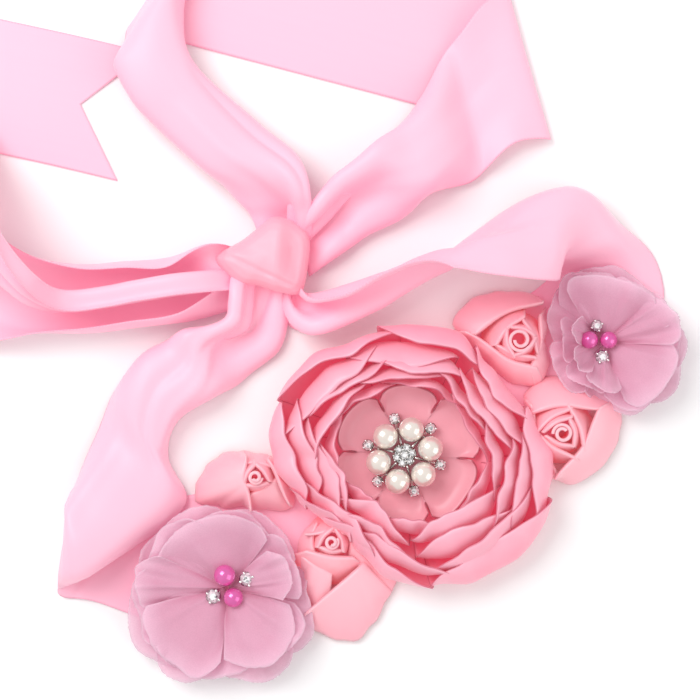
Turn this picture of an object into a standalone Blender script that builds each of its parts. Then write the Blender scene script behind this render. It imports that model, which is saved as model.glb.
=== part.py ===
# Satin sash: one length of ribbon with a cluster of cloth flowers, tied in a half bow and laid flat.
# Metres, +Z up. The table is at z = 0 and the sash is seen from straight above.

import math

import bmesh
import bpy
from mathutils import Vector

# Driving sizes, in metres
RIBBON_WIDTH = 0.050
WALL = 0.0010
SEAM_GAP = 0.0003
PIXEL = 0.00038
VIEW_HEIGHT = 0.90
VIEW_CENTRE = (350.0, 350.0)
BOX_CENTRE = (261.698, 296.733)
MM = 0.001

# Colours of the real materials, linear
RIBBON_PINK = (0.93, 0.60, 0.76)
ROSE_PINK = (0.90, 0.42, 0.50)
CHIFFON_PINK = (0.80, 0.42, 0.58)
IVORY = (0.90, 0.84, 0.74)
HOT_PINK = (0.80, 0.12, 0.42)
SILVER = (0.75, 0.75, 0.74)
CRYSTAL = (0.92, 0.94, 0.96)


def place(x, y, z):
    """A spot given as seen in the view (x right, y down) at height z, in the part's own frame."""
    nearer = (VIEW_HEIGHT - z) / VIEW_HEIGHT
    across = (x - VIEW_CENTRE[0]) * PIXEL * nearer
    up = (VIEW_CENTRE[1] - y) * PIXEL * nearer
    return Vector((across - (BOX_CENTRE[0] - VIEW_CENTRE[0]) * PIXEL,
                   up - (VIEW_CENTRE[1] - BOX_CENTRE[1]) * PIXEL, z))


def material(name, colour, roughness, metallic=0.0):
    """A plain material of one colour."""
    made = bpy.data.materials.get(name) or bpy.data.materials.new(name)
    made.use_nodes = True
    shader = made.node_tree.nodes["Principled BSDF"]
    shader.inputs["Base Color"].default_value = (*colour, 1.0)
    shader.inputs["Roughness"].default_value = roughness
    shader.inputs["Metallic"].default_value = metallic
    return made


def new_object(name, points, faces, finish):
    """An object from points and faces, with its faces turned to agree."""
    mesh = bpy.data.meshes.new(name)
    mesh.from_pydata([tuple(point) for point in points], [], faces)
    mesh.validate()
    work = bmesh.new()
    work.from_mesh(mesh)
    bmesh.ops.recalc_face_normals(work, faces=work.faces[:])
    work.to_mesh(mesh)
    work.free()
    mesh.shade_smooth()
    mesh.materials.append(finish)
    made = bpy.data.objects.new(name, mesh)
    bpy.context.scene.collection.objects.link(made)
    return made


def add_wall(cloth, thickness=WALL):
    """Gives an open sheet its thickness, half to each side."""
    wall = cloth.modifiers.new("wall", "SOLIDIFY")
    wall.thickness = thickness
    wall.offset = 0.0
    wall.use_rim = True
    wall.use_even_offset = False
    return cloth


def smooth_rows(rows, steps):
    """Rows of numbers, with steps - 1 new ones on a smooth curve between each pair."""
    filled = []
    for index in range(len(rows) - 1):
        before = rows[max(index - 1, 0)]
        start, end = rows[index], rows[index + 1]
        after = rows[min(index + 2, len(rows) - 1)]
        for step in range(steps):
            t = step / steps
            filled.append([0.5 * (2 * b + (c - a) * t + (2 * a - 5 * b + 4 * c - d) * t * t
                                  + (3 * b - a - 3 * c + d) * t ** 3)
                           for a, b, c, d in zip(before, start, end, after)])
    filled.append(list(rows[-1]))
    return filled


# Ribbon. A row is one section across the ribbon:
#   x, y     middle of what is seen of it, in the view
#   lift     height of its lowest point above the table, mm
#   across   plan direction of the section, degrees from right, anticlockwise
#   lean     how far the ribbon's middle leans up from level, degrees
#   bow      turn along the whole width, degrees; below nought it arches, above it sags
#   ripple   swing of the gathers near the knot, degrees
#   slant    angle between the section and a square-cut one, degrees, at a diagonal fold
NOTCH_DEPTH = 0.0205
NOTCH_SHARES = (0.25, 0.6, 1.0)

def section(row, columns, gathers):
    """Points across one ribbon section, equal steps apart along the cloth."""
    x, y, lift, across, lean, bow, ripple, slant = row
    length = RIBBON_WIDTH / math.cos(math.radians(slant))
    step = length / columns
    side, height = [0.0], [0.0]
    for index in range(columns):
        share = (index + 0.5) / columns - 0.5
        angle = math.radians(lean + bow * share + ripple * math.cos(2 * math.pi * gathers * share))
        side.append(side[-1] + step * math.cos(angle))
        height.append(height[-1] + step * math.sin(angle))
    middle = (max(side) + min(side)) / 2
    lowest = min(height)
    base = max(lift, 0) * MM + WALL / 2 - lowest
    direction = Vector((math.cos(math.radians(across)), math.sin(math.radians(across)), 0))
    centre = place(x, y, lift * MM + (max(height) - lowest) / 2)
    centre.z = 0
    return [centre + direction * (s - middle) + Vector((0, 0, base + h)) for s, h in zip(side, height)]


def ribbon(name, rows, columns=8, steps=3, gathers=1.5, cut_end=0.0):
    """A stretch of ribbon through its sections; a cut end is notched in a V by that depth."""
    sections = [section(row, columns, gathers) for row in smooth_rows(rows, steps)]
    if cut_end:
        inward = (sections[-2][columns // 2] - sections[-1][columns // 2]).normalized()
        for line, share in zip(sections[-3:], NOTCH_SHARES):
            for index, point in enumerate(line):
                point += inward * cut_end * share * (1 - abs(2 * index / columns - 1))
    points = [point for line in sections for point in line]
    faces = []
    for row in range(len(sections) - 1):
        for column in range(columns):
            corner = row * (columns + 1) + column
            faces.append((corner, corner + 1, corner + columns + 2, corner + columns + 1))
    return add_wall(new_object(name, points, faces, material("ribbon_satin", RIBBON_PINK, 0.35)))


def clear_scene():
    """Takes every object out of the scene."""
    for item in list(bpy.data.objects):
        bpy.data.objects.remove(item, do_unlink=True)


clear_scene()

# Band: the flat stretch that the flowers are fixed to, on the table
ribbon("band", [
    # x, y, lift, across, lean, bow, ripple, slant
    (172, 560, 0, 92, 0, 0, 0, 0),
    (215, 557, 0, 104, 0, 0, 0, 0),
    (262, 539, 0, 116, 0, 0, 0, 0),
    (325, 505, 0, 123, 0, 0, 0, 0),
    (475, 407, 0, 123, 0, 0, 0, 0),
    (572, 344, 0, 123, 0, 0, 0, 0),
], columns=4, steps=2)

# Left arm: the band's end turned back over itself at the left, then up to the knot
ribbon("arm_left", [
    (170.6, 560, 0, 92, 0, 0, 0, 0),
    (119, 540, 0, 74, 0, 0, 0, 0),
    (88, 534, 0, 78, 0, 0, 0, 0),
    (66, 538, 3, 80, 2, -120, 0, 0),
    (76, 542, 6, 106, 0, -196, 0, 0),
    (102, 515, 4, 125, 0, -165, 0, 0),
    (142, 466, 2.4, 138, 0, -96, 0, 0),
    (141, 423, 0, 126, 0, -170, 0, 0),
    (158, 389, 0, 121, 0, -200, 0, 0),
    (192, 368, 0, 130, 0, -200, 0, 0),
    (222, 351, 0, 135, 0, -200, 70, 0),
    (251, 334, 1, 146, 0, -200, 88, 0),
    (258, 313, 2, 158, 0, -190, 92, 0),
    (261, 287, 3, 166, 0, -180, 94, 0),
], steps=2)

# Right arm: turned back at the right, twisted once, then on its edge to the knot
ribbon("arm_right", [
    (576, 341, 0, 123, 0, 0, 0, 0),
    (598, 314, 0, 138, 0, 0, 0, 0),
    (602, 290, 0, 158, 0, -4, 0, 0),
    (596, 264, 0, 182, 0, -70, 0, 0),
    (582, 246, 3, 210, 0, -160, 0, 0),
    (572, 232, 8, 250, 10, -160, 0, 0),
    (556, 234, 9, 268, 30, -120, 0, 0),
    (520, 240, 5, 268, 50, -80, 0, 0),
    (488, 248, 2, 265, 68, -50, 20, 0),
    (453, 258, 1, 262, 88, 10, 40, 0),
    (420, 272, 1, 258, 100, 50, 50, 0),
    (385, 290, 1, 258, 108, 70, 60, 0),
    (345, 306, 1, 262, 116, 40, 80, 0),
    (312, 314, 2, 262, 150, 0, 96, 0),
    (293, 309, 2, 255, 170, 0, 100, 0),
], steps=2)

# Bow loop: the left leg comes out of the knot and turns under at its upper end
ribbon("loop_left_leg", [
    (282, 217, 4, 4, 0, -190, 94, 0),
    (277, 200, 4, 9, 0, -200, 76, 0),
    (262, 173, 4, 21, 0, -195, 20, 0),
    (233, 150, 4, 28, 0, -200, 0, 0),
    (192, 113, 4, 27, 0, -206, 0, 0),
    (166, 86, 5, 28, 0, -210, 0, 0),
    (150, 56, 5, 25, 0, -200, 0, 0),
    (148, 28, 5, 42, 0, -150, 0, 0),
    (160, -8, 6, 54, 0, -70, 0, 10),
    (165, -29, 3, 57.5, 0, 0, 0, 17.8),
    (174, -27, 0, 57.5, 0, 0, 0, 17.8),
], steps=2)

# Bow loop: the run that lies flat on the table between the two diagonal folds
ribbon("loop_top_run", [
    (176.5, -26.4, 0, 57.5, 0, 0, 0, 17.8),
    (230, -12.3, 0, 75.3, 0, 0, 0, 0),
    (460, 48.1, 0, 75.3, 0, 0, 0, 0),
    (513, 62.1, 0, 105.8, 0, 0, 0, -30.5),
], columns=4, steps=1)

# Bow loop: the right leg turns over the run's end and narrows to the knot
ribbon("loop_right_leg", [
    (519.5, 63.8, 0, 105.8, 0, 0, 0, 30.5),
    (529, 66, 2.5, 105.8, 0, 0, 0, 30.5),
    (519, 66, 5, 105.8, 0, 0, 0, 29),
    (497, 76, 4, 105, 0, 30, 0, 20),
    (471, 104, 3, 104, 0, 10, 0, 6),
    (442, 135, 3, 106, 0, -130, 0, 0),
    (412, 161, 3, 113, 0, -200, 0, 0),
    (382, 187, 3, 116, 0, -200, 60, 0),
    (352, 208, 3, 118, 0, -200, 86, 0),
    (334, 228, 4, 112, 0, -190, 98, 0),
    (320, 242, 4, 98, 0, -190, 98, 0),
], steps=2)

# Short tail: from the knot to the left, with the long tail lying in its trough
ribbon("tail_short", [
    (219, 275.5, 0, 106, 0, 280, 0, 0),
    (176, 290, 0, 98, 0, 250, 0, 0),
    (130, 295, 0, 95, 0, 240, 0, 0),
    (83, 299, 0, 94, 0, 225, 0, 0),
    (35, 295, 0, 92, 0, 190, 0, 0),
    (-8, 286, 0, 96, 0, 110, 0, 0),
    (-52, 282, 0, 94, 0, 30, 0, 0),
    (-95, 282, 0, 90, 0, 0, 0, 0),
    (-150, 284, 0, 88, 0, 0, 0, 0),
], steps=2, cut_end=NOTCH_DEPTH)

# Long tail: on its edge beside the knot, then flat, and turned back at the far left
ribbon("tail_long", [
    (223, 280, 4.0, 108, 90, 0, 100, 0),
    (184, 284, 3.6, 98, 90, 0, 100, 0),
    (138, 291, 3.2, 98, 90, 0, 100, 0),
    (107, 297, 3.2, 98, 90, 0, 100, 0),
    (64, 301, 4, 90, 88, 0, 98, 0),
    (31, 290, 14, 62, 74, 0, 86, 0),
    (5, 262, 18, 45, 50, 0, 60, 0),
    (-25, 228, 14, 40, 22, 0, 24, 0),
    (-55, 188, 6, 34, 0, 0, 0, 0),
    (-85, 125, 3, 29, 0, 0, 0, 0),
    (-106, 68, 4, 50, 0, 0, 0, 21),
    (-112, 60.8, 2, 52.3, 0, 0, 0, 24.3),
    (-104, 62.7, 0, 52.3, 0, 0, 0, 24.3),
], columns=12, steps=2, gathers=2.5)

# Long tail's end: flat on the table, back to its V-cut under the bow's left leg
ribbon("tail_long_end", [
    (-101.5, 63.3, 0, 52.3, 0, 0, 0, 24.3),
    (-50, 75.6, 0, 76.6, 0, 0, 0, 0),
    (60, 99.6, 0, 76.6, 0, 0, 0, 0),
    (133, 117, 0, 76.6, 0, 0, 0, 0),
], columns=4, steps=2, cut_end=NOTCH_DEPTH)

# Knot: the ribbon wound once round the crossing, its hidden turns one rounded solid
KNOT_CENTRE = (267, 255)
KNOT_OUTLINE = [(217, 258), (244, 240), (270, 222), (290, 220), (304, 228), (309, 240),
                (307, 262), (299, 289), (277, 289), (254, 282), (228, 273)]
# height above the table in mm, share of the outline's size
KNOT_LEVELS = [(0.3, 0.92), (4, 1.0), (10, 0.98), (14, 0.78), (16.5, 0.42)]


def knot():
    """The knot's rounded solid, lofted through its levels."""
    points = []
    for height, share in KNOT_LEVELS:
        for x, y in KNOT_OUTLINE:
            points.append(place(KNOT_CENTRE[0] + (x - KNOT_CENTRE[0]) * share,
                                KNOT_CENTRE[1] + (y - KNOT_CENTRE[1]) * share, height * MM))
    around = len(KNOT_OUTLINE)
    faces = [tuple(range(around)), tuple(range(len(points) - around, len(points)))]
    for level in range(len(KNOT_LEVELS) - 1):
        for index in range(around):
            after = (index + 1) % around
            faces.append((level * around + index, level * around + after,
                          (level + 1) * around + after, (level + 1) * around + index))
    return new_object("knot", points, faces, material("ribbon_satin", RIBBON_PINK, 0.35))


knot()


# Flowers. A reach table gives how far a flower spreads in each direction:
#   direction   degrees from right, anticlockwise
#   reach       size on the view, in its pixels
def reach_at(table, direction):
    """The reach in one direction, read smoothly round the table."""
    direction %= 360
    rows = sorted(table)
    rows = [(rows[-1][0] - 360, rows[-1][1])] + rows + [(rows[0][0] + 360, rows[0][1])]
    for (low, near), (high, far) in zip(rows, rows[1:]):
        if low <= direction <= high:
            share = (direction - low) / (high - low)
            share = share * share * (3 - 2 * share)
            return near + (far - near) * share
    return rows[0][1]


def flower_spot(centre, direction, radius, height):
    """A spot round a flower's middle, radius in view pixels and height in mm."""
    turn = math.radians(direction)
    spot = place(centre[0], centre[1], 0)
    return spot + Vector((math.cos(turn) * radius * PIXEL, math.sin(turn) * radius * PIXEL, height * MM))


def petal_disc(name, centre, reach, plain, profile, petals, turn, finish, columns=5, skew=0.05, wave=0.8,
               dip=0.12):
    """A disc slit into petals. The profile's rows are (share of the reach, height in mm), from the
    middle out, and the slits run from its second row to its last. Its middle is round, of plain size."""
    def spot(petal, column, row):
        across = column / columns
        share, height = profile[row]
        out = row - 1
        spread = (across - 0.5) * (1 - 0.05 * min(out, 1))
        direction = turn + 360 / petals * (petal + 0.5 + spread)
        rim = out / (len(profile) - 2)
        side = 2 * across - 1
        share += skew * side * rim - dip * rim * abs(side) ** 3
        height += wave * rim * math.cos(math.pi * side * 1.5 + petal)
        far = plain + (reach_at(reach, direction) - plain) * share
        return flower_spot(centre, direction, share * far, height)

    points = [flower_spot(centre, 0, 0, profile[0][1])]
    ring = [[1 + (petal * columns + column) % (petals * columns) for column in range(columns + 1)]
            for petal in range(petals)]
    points += [spot(petal, column, 1) for petal in range(petals) for column in range(columns)]
    faces = [(0, petal[column], petal[column + 1]) for petal in ring for column in range(columns)]
    for petal in range(petals):
        line = ring[petal]
        for row in range(2, len(profile)):
            following = [len(points) + column for column in range(columns + 1)]
            points += [spot(petal, column, row) for column in range(columns + 1)]
            for column in range(columns):
                faces.append((line[column], following[column], following[column + 1], line[column + 1]))
            line = following
    return add_wall(new_object(name, points, faces, finish))


ROSE_SATIN = material("rose_satin", ROSE_PINK, 0.4)
CHIFFON = material("chiffon", CHIFFON_PINK, 0.7)

# Main flower: five cups of heat-curled satin petals, one inside another, round a flatter slit disc
MAIN_CENTRE = (406, 455)
MAIN_REACH = [(0, 129), (15, 118), (35, 113), (51, 115), (68, 132), (90, 128), (104, 131), (118, 128),
              (135, 138), (152, 137), (168, 141), (182, 129), (200, 114), (217, 107), (231, 100),
              (245, 110), (262, 124), (282, 130), (300, 142), (318, 152), (335, 148), (350, 142)]
MAIN_ROUND = 129
MAIN_LAYERS = [
    # name, petals, first turn, profile of (share of the reach, height in mm)
    ("main_petals_1", 6, 10, [(0, 1.9), (0.52, 1.9), (0.80, 4.0), (0.965, 10.5), (1.0, 16.0), (0.955, 21.0)]),
    ("main_petals_2", 6, 42, [(0, 3.4), (0.50, 3.4), (0.73, 5.9), (0.865, 12.5), (0.895, 18.0), (0.85, 23.0)]),
    ("main_petals_3", 5, 5, [(0, 4.9), (0.48, 4.9), (0.66, 7.8), (0.765, 14.5), (0.79, 20.0), (0.745, 25.0)]),
    ("main_petals_4", 5, 40, [(0, 6.4), (0.46, 6.4), (0.59, 9.6), (0.67, 16.0), (0.69, 21.5), (0.65, 26.0)]),
    ("main_petals_5", 5, 66, [(0, 7.9), (0.44, 7.9), (0.53, 10.9), (0.58, 17.0), (0.60, 22.0), (0.565, 26.5)]),
    ("main_middle_disc", 5, 20, [(0, 9.4), (0.36, 9.4), (0.42, 10.4), (0.46, 12.2), (0.48, 14.6)]),
]
for name, petals, turn, profile in MAIN_LAYERS:
    petal_disc(name, MAIN_CENTRE, MAIN_REACH, MAIN_ROUND, profile, petals, turn, ROSE_SATIN,
               skew=0.012, wave=0.3, dip=0.03)

# Chiffon flowers: three slit discs each, the upper ones smaller and more cupped
CHIFFON_FLOWERS = [
    ("left_chiffon", (228, 587), 18, 85,
     [(0, 74), (25, 78), (60, 80), (90, 80), (125, 90), (155, 92), (185, 98), (215, 104), (245, 100),
      (268, 90), (290, 98), (325, 92)]),
    ("right_chiffon", (603, 342), 40, 72,
     [(0, 76), (30, 72), (60, 66), (90, 76), (120, 80), (150, 66), (180, 58), (210, 62), (244, 56),
      (270, 62), (300, 78), (330, 80)]),
]
CHIFFON_LAYERS = [
    # share of the flower's turn, profile of (share of the reach, height in mm)
    (0, [(0, 1.9), (0.58, 2.0), (0.82, 7.0), (1.0, 12.5)]),
    (36, [(0, 3.4), (0.50, 3.5), (0.70, 9.5), (0.84, 16.5)]),
    (12, [(0, 4.9), (0.41, 5.0), (0.53, 11.0), (0.62, 18.0)]),
]
for name, centre, turn, plain, reach in CHIFFON_FLOWERS:
    for index, (more, profile) in enumerate(CHIFFON_LAYERS):
        petal_disc(f"{name}_{index + 1}", centre, reach, plain, profile, 5, turn + more, CHIFFON,
                   columns=4, skew=0.015, wave=0.3, dip=0.05)


def rolled_strip(name, centre, reach, rows, start, end, finish, columns=11):
    """A strip stood on edge and wound from turn start to turn end. Its rows are
    (turn, share of the reach at the foot, share at the brim, middle bulge, height of the brim in mm)."""
    points = []
    count = math.ceil((end - start) * columns)
    for index in range(count + 1):
        turn = start + (end - start) * index / count
        for low, high in zip(rows, rows[1:]):
            if low[0] <= turn <= high[0] + 1e-9:
                share = (turn - low[0]) / (high[0] - low[0])
                foot, brim, bulge, height = [a + (b - a) * share for a, b in zip(low[1:], high[1:])]
        direction = turn * 360
        far = reach_at(reach, direction)
        for level in (0, 0.5, 1):
            radius = foot + (brim - foot) * level + bulge * math.sin(math.pi * level)
            points.append(flower_spot(centre, direction, radius * far, 1.6 + (height - 1.6) * level))
    faces = []
    for index in range(count):
        for level in (0, 1):
            corner = index * 3 + level
            faces.append((corner, corner + 3, corner + 4, corner + 1))
    return add_wall(new_object(name, points, faces, finish))


# Rolled roses: a folded ribbon wound from the bud outwards, the last turn opened out in facets
ROSES = [
    ("rose_right_top", (517, 341),
     [(0, 22), (40, 31), (90, 44), (125, 56), (150, 60), (180, 48), (215, 34), (235, 33), (270, 36), (315, 32)]),
    ("rose_right_low", (561, 434),
     [(0, 56), (22, 60), (45, 44), (70, 37), (110, 40), (145, 33), (180, 26), (225, 32), (265, 44), (290, 50),
      (320, 50)]),
    ("rose_left_top", (255, 476),
     [(0, 26), (45, 24), (90, 22), (125, 28), (165, 46), (190, 54), (215, 40), (250, 27), (285, 31), (320, 40),
      (345, 34)]),
    ("rose_left_low", (328, 547),
     [(0, 20), (50, 15), (90, 19), (140, 26), (200, 22), (230, 36), (255, 76), (275, 84), (300, 74), (325, 58)]),
]
# turn, foot, brim, bulge, height
ROSE_BUD_ROWS = [(0.0, 0.10, 0.12, 0.0, 17), (1.0, 0.24, 0.30, 0.02, 18), (2.0, 0.42, 0.52, 0.03, 16)]
ROSE_WRAP_ROWS = [(2.0, 0.62, 0.82, 0.05, 13), (2.5, 0.68, 0.96, 0.06, 12), (3.15, 0.78, 1.0, 0.06, 10)]
for name, centre, reach in ROSES:
    rolled_strip(f"{name}_bud", centre, reach, ROSE_BUD_ROWS, 0.0, 2.0, ROSE_SATIN)
    rolled_strip(f"{name}_wrap", centre, reach, ROSE_WRAP_ROWS, 2.0, 3.15, ROSE_SATIN, columns=16)


def ball(name, x, y, height, radius, finish):
    """A round bead, its middle at a height in mm and its radius in view pixels."""
    bpy.ops.mesh.primitive_uv_sphere_add(segments=10, ring_count=7, radius=radius * PIXEL,
                                         location=place(x, y, 0) + Vector((0, 0, height * MM)))
    bead = bpy.context.object
    bead.name = name
    bead.data.name = name
    bead.data.shade_smooth()
    bead.data.materials.append(finish)
    return bead


def stone(name, x, y, foot, radius, depth, finish, sides=8):
    """A stone in its cup: foot and depth in mm, radius in view pixels."""
    bpy.ops.mesh.primitive_cone_add(vertices=sides, radius1=radius * PIXEL, radius2=radius * PIXEL * 0.6,
                                    depth=depth * MM,
                                    location=place(x, y, 0) + Vector((0, 0, (foot + depth / 2) * MM)))
    gem = bpy.context.object
    gem.name = name
    gem.data.name = name
    gem.data.materials.append(finish)
    return gem


# Brooch: a silver setting with six pearls in a ring, six small stones outside them and a middle flower
PEARL = material("ivory_pearl", IVORY, 0.25)
METAL = material("silver_setting", SILVER, 0.2, 1.0)
GEM = material("clear_stone", CRYSTAL, 0.05)
HOT_PEARL = material("pink_pearl", HOT_PINK, 0.25)
BROOCH_CENTRE = (403.5, 453.5)
BROOCH_FOOT = 10.2
SETTING_HEIGHT = 1.0
PEARL_RADIUS = 12.5
PEARL_RING = 26.4
STONE_RADIUS = 4.6
STONE_RING = 37.0
STONE_DEPTH = 2.6
MIDDLE_RADIUS = 11.4
SETTING_RADIUS = 38.0
bpy.ops.mesh.primitive_cylinder_add(vertices=24, radius=SETTING_RADIUS * PIXEL, depth=SETTING_HEIGHT * MM,
                                    location=place(*BROOCH_CENTRE, 0)
                                    + Vector((0, 0, (BROOCH_FOOT + SETTING_HEIGHT / 2) * MM)))
setting = bpy.context.object
setting.name = "brooch_setting"
setting.data.materials.append(METAL)
seat = BROOCH_FOOT + SETTING_HEIGHT + SEAM_GAP / MM
for index in range(6):
    angle = math.radians(75 + 60 * index)
    ball(f"brooch_pearl_{index + 1}", BROOCH_CENTRE[0] + PEARL_RING * math.cos(angle),
         BROOCH_CENTRE[1] - PEARL_RING * math.sin(angle), seat + PEARL_RADIUS * PIXEL / MM, PEARL_RADIUS, PEARL)
    angle += math.radians(30)
    stone(f"brooch_stone_{index + 1}", BROOCH_CENTRE[0] + STONE_RING * math.cos(angle),
          BROOCH_CENTRE[1] - STONE_RING * math.sin(angle), seat, STONE_RADIUS, STONE_DEPTH, GEM)
stone("brooch_middle", *BROOCH_CENTRE, seat, MIDDLE_RADIUS, 5.0, GEM, sides=12)

# Flower middles: two pink pearls and two rhinestones sewn to each chiffon flower
CHIFFON_SEAT = 5.6
BEADS = [
    # name, x, y, radius
    ("left_pearl_1", 226, 573, 10.8),
    ("left_pearl_2", 234.5, 595, 9.8),
    ("right_pearl_1", 587, 340, 8.8),
    ("right_pearl_2", 606, 340, 8.6),
]
RHINESTONES = [
    # name, x, y, radius
    ("left_rhinestone_1", 247.5, 577, 8.2),
    ("left_rhinestone_2", 214.5, 594, 8.2),
    ("right_rhinestone_1", 594.5, 326, 6.6),
    ("right_rhinestone_2", 600, 357, 7.6),
]
for name, x, y, radius in BEADS:
    ball(name, x, y, CHIFFON_SEAT + radius * PIXEL / MM, radius, HOT_PEARL)
for name, x, y, radius in RHINESTONES:
    stone(name, x, y, CHIFFON_SEAT, radius, 4.0, GEM, sides=10)
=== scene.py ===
# Satin sash laid flat: a ribbon tied in a half bow, with a cluster of cloth flowers and a brooch.
# Metres, +Z up, the table at z = 0. The sash is seen from straight above, as in the photograph.

import math

import bmesh
import bpy
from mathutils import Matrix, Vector, noise


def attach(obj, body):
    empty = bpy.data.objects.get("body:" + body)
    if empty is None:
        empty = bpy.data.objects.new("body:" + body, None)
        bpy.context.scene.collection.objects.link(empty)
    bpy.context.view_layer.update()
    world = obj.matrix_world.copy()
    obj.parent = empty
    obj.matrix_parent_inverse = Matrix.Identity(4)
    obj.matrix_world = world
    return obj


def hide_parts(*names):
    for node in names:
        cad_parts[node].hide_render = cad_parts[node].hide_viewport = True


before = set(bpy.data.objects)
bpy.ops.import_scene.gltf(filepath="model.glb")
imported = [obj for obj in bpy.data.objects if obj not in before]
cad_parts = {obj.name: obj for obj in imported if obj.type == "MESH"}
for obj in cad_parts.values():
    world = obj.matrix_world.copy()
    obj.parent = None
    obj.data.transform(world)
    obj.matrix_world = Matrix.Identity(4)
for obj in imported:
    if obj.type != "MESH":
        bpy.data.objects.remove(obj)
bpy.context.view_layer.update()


# Table, light and camera. The sash lies on a white sheet under a large soft light that stands
# over its upper left, and the camera looks straight down from 0.9 m.
PIXEL = 0.00038
VIEW_HEIGHT = 0.90
VIEW_CENTRE = (350.0, 350.0)
VIEW_SIZE = 700
BOX_CENTRE = (261.698, 296.733)


def seen(x, y, z=0.0):
    """The place of a spot given as seen in the view (x right, y down), at height z in metres."""
    nearer = (VIEW_HEIGHT - z) / VIEW_HEIGHT
    return Vector((((x - VIEW_CENTRE[0]) * nearer - BOX_CENTRE[0] + VIEW_CENTRE[0]) * PIXEL,
                   ((VIEW_CENTRE[1] - y) * nearer - VIEW_CENTRE[1] + BOX_CENTRE[1]) * PIXEL, z))


class Thread:
    """One socket of a shader, so that a finish is written as sums of its parts."""

    def __init__(self, tree, socket=None):
        self.tree = tree
        self.socket = socket

    def node(self, kind, settings=None, inputs=None, output=0):
        """Any node: its settings first, then the values or links of its sockets."""
        made = self.tree.nodes.new(kind)
        for name, value in (settings or {}).items():
            if name == "stops":
                ramp = made.color_ramp
                for place, colour in value[1:-1]:
                    ramp.elements.new(place).color = (*colour, 1)
                ramp.elements[0].position, ramp.elements[0].color = value[0][0], (*value[0][1], 1)
                ramp.elements[-1].position, ramp.elements[-1].color = value[-1][0], (*value[-1][1], 1)
            else:
                setattr(made, name, value)
        for name, value in (inputs or {}).items():
            if isinstance(value, Thread):
                self.tree.links.new(value.socket, made.inputs[name])
            else:
                made.inputs[name].default_value = value
        return Thread(self.tree, made.outputs[output])

    def sum(self, operation, first, second=0.0):
        return self.node("ShaderNodeMath", {"operation": operation}, {0: first, 1: second})

    def __add__(self, other):
        return self.sum("ADD", self, other)

    def __sub__(self, other):
        return self.sum("SUBTRACT", self, other)

    def __rsub__(self, other):
        return self.sum("SUBTRACT", other, self)

    def __mul__(self, other):
        return self.sum("MULTIPLY", self, other)

    __radd__ = __add__
    __rmul__ = __mul__

    def held(self):
        """The same value, kept from 0 to 1."""
        return self.node("ShaderNodeClamp", None, {"Value": self})

    def blend(self, first, second):
        """Two colours mixed by this value."""
        return self.node("ShaderNodeMix", {"data_type": "RGBA"}, {0: self, 6: first, 7: second}, 2)

    def place(self):
        """Where a point lies on the object."""
        return self.node("ShaderNodeTexCoord", None, None, 3)

    def cloth(self):
        """The two distances that a piece's cloth map holds, in metres."""
        laid = self.node("ShaderNodeUVMap", {"uv_map": "cloth"})
        return [self.node("ShaderNodeSeparateXYZ", None, {0: laid}, axis) for axis in (0, 1)]

    def stretched(self, first, second):
        """A place made of two distances, for a grain longer one way than the other."""
        return self.node("ShaderNodeCombineXYZ", None, {0: first, 1: second})

    def grain(self, place, scale, detail):
        """A soft irregular pattern, from 0 to 1."""
        return self.node("ShaderNodeTexNoise", None, {"Vector": place, "Scale": scale, "Detail": detail})

    def bump(self, strength, distance, height):
        """Low relief from a height."""
        return self.node("ShaderNodeBump", None, {
            "Strength": strength, "Distance": distance, "Height": height})


def finish(name, roughness, build=None, colour=(0.8, 0.8, 0.8), **steady):
    """A finish: steady values on the shader's own sockets, and what varies from build(thread)."""
    made = bpy.data.materials.new(name)
    made.use_nodes = True
    tree = made.node_tree
    shader = tree.nodes["Principled BSDF"]
    shader.inputs["Base Color"].default_value = (*colour, 1)
    shader.inputs["Roughness"].default_value = roughness
    for socket, value in steady.items():
        shader.inputs[socket.replace("_", " ")].default_value = value
    if build:
        for socket, value in build(Thread(tree)).items():
            tree.links.new(value.socket, shader.inputs[socket])
    return made


def table_paper(thread):
    """White card with a very faint tooth."""
    return {"Normal": thread.bump(0.04, 0.0002, thread.grain(thread.place(), 900.0, 2.0))}


bpy.ops.object.select_all(action="DESELECT")
bpy.ops.mesh.primitive_plane_add(size=8, location=(0, 0, -0.0002))
table = bpy.context.object
table.name = "table"
table.data.materials.append(finish("table_card", 0.9, table_paper, (0.97, 0.97, 0.97)))

scene = bpy.context.scene
scene.view_settings.view_transform = "Standard"
scene.view_settings.look = "None"
scene.world = bpy.data.worlds.new("daylight")
scene.world.use_nodes = True
scene.world.node_tree.nodes["Background"].inputs["Color"].default_value = (1, 1, 1, 1)
scene.world.node_tree.nodes["Background"].inputs["Strength"].default_value = 0.70

for name, spot, size, power in [("window", (-0.55, 0.45, 0.95), 0.7, 8.0),
                                ("side", (0.9, -0.4, 0.7), 0.9, 3.0)]:
    lamp = bpy.data.objects.new(name, bpy.data.lights.new(name, "AREA"))
    lamp.data.size = size
    lamp.data.energy = power
    lamp.location = spot
    lamp.rotation_euler = (-Vector(spot)).to_track_quat("-Z", "Y").to_euler()
    scene.collection.objects.link(lamp)

SENSOR = 36
camera = bpy.data.objects.new("camera", bpy.data.cameras.new("camera"))
camera.location = seen(*VIEW_CENTRE) + Vector((0, 0, VIEW_HEIGHT))
camera.data.sensor_width = SENSOR
camera.data.lens = SENSOR * VIEW_HEIGHT / (VIEW_SIZE * PIXEL)
scene.collection.objects.link(camera)
scene.camera = camera


# Waist ribbon: the part of the one 50 mm satin ribbon that the flowers are fixed to. It leaves the
# knot, turns back over itself at the left, runs flat under the flowers, turns back at the right,
# twists once and goes back to the knot on its edge.
RIBBON_WIDTH = 0.050
CLOTH = 0.00035
MM = 0.001
FLAT_SHARE = 0.18
CUT_REACH = 0.045
PRESS_DEPTH = 0.6
WOVEN_SIDE = 0.0007


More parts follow.
